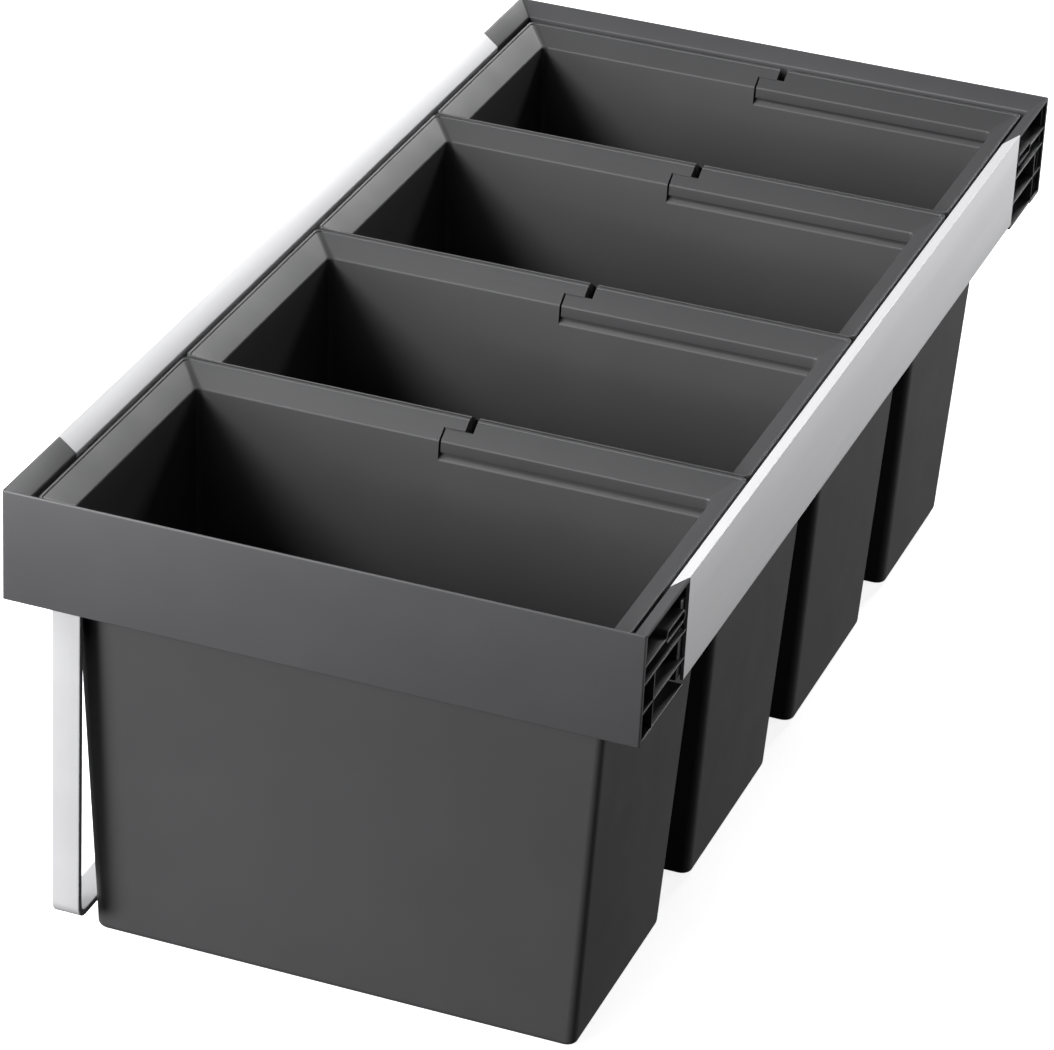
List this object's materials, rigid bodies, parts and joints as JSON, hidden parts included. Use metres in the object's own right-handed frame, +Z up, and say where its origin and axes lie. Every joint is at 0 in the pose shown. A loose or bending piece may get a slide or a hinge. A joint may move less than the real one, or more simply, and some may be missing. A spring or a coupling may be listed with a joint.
{
  "type": "pull-out waste sorting insert",
  "caption": "Long hanging frame of two moulded ends and two aluminium rails that carries a row of lift-out waste bins, each with a fold-down bail handle.",
  "frame": {"origin": "on the outer face of the front end panel, at its middle, halfway up the plate", "axes": "+Z up, +Y from the front end panel to the rear one along the row of bins, +X to the right when looking along +Y"},
  "size_m": [0.406, 0.864, 0.324],
  "materials": {
    "end_panels": "fine matt moulded plastic, dark grey",
    "bins": "matt moulded plastic, anthracite",
    "handles": "matt moulded plastic, anthracite",
    "rails": "satin anodised extrusion",
    "strap": "smooth light silver-grey coating",
    "fasteners": "plain steel"
  },
  "bodies": {
    "frame": {"front_end_panel": "end_panels", "rear_end_panel": "end_panels", "rail_right": "rails", "rail_left": "rails", "strap": "strap", "strap_screw_front": "fasteners", "strap_screw_rear": "fasteners"},
    "bin_1_body": {"bin_1": "bins", "pin_1_front": "fasteners", "pin_1_rear": "fasteners"},
    "handle_1_body": {"handle_1": "handles"},
    "bin_2_body": {"bin_2": "bins", "pin_2_front": "fasteners", "pin_2_rear": "fasteners"},
    "handle_2_body": {"handle_2": "handles"},
    "bin_3_body": {"bin_3": "bins", "pin_3_front": "fasteners", "pin_3_rear": "fasteners"},
    "handle_3_body": {"handle_3": "handles"},
    "bin_4_body": {"bin_4": "bins", "pin_4_front": "fasteners", "pin_4_rear": "fasteners"},
    "handle_4_body": {"handle_4": "handles"}
  },
  "joints": [
    {"name": "bin_1_lift", "type": "slide", "parent": "frame", "child": "bin_1_body", "axis": [0, 0, 1], "range_m": [0, 0.34]},
    {"name": "handle_1_swing", "type": "hinge", "parent": "bin_1_body", "child": "handle_1_body", "pos_m": [0, 0.12215, 0.0175], "axis": [0, -1, 0], "range_deg": [0, 90]},
    {"name": "bin_2_lift", "type": "slide", "parent": "frame", "child": "bin_2_body", "axis": [0, 0, 1], "range_m": [0, 0.34]},
    {"name": "handle_2_swing", "type": "hinge", "parent": "bin_2_body", "child": "handle_2_body", "pos_m": [0, 0.33645, 0.0175], "axis": [0, -1, 0], "range_deg": [0, 90]},
    {"name": "bin_3_lift", "type": "slide", "parent": "frame", "child": "bin_3_body", "axis": [0, 0, 1], "range_m": [0, 0.34]},
    {"name": "handle_3_swing", "type": "hinge", "parent": "bin_3_body", "child": "handle_3_body", "pos_m": [0, 0.55075, 0.0175], "axis": [0, -1, 0], "range_deg": [0, 90]},
    {"name": "bin_4_lift", "type": "slide", "parent": "frame", "child": "bin_4_body", "axis": [0, 0, 1], "range_m": [0, 0.34]},
    {"name": "handle_4_swing", "type": "hinge", "parent": "bin_4_body", "child": "handle_4_body", "pos_m": [0, 0.7534, 0.0175], "axis": [0, -1, 0], "range_deg": [0, 90]}
  ]
}
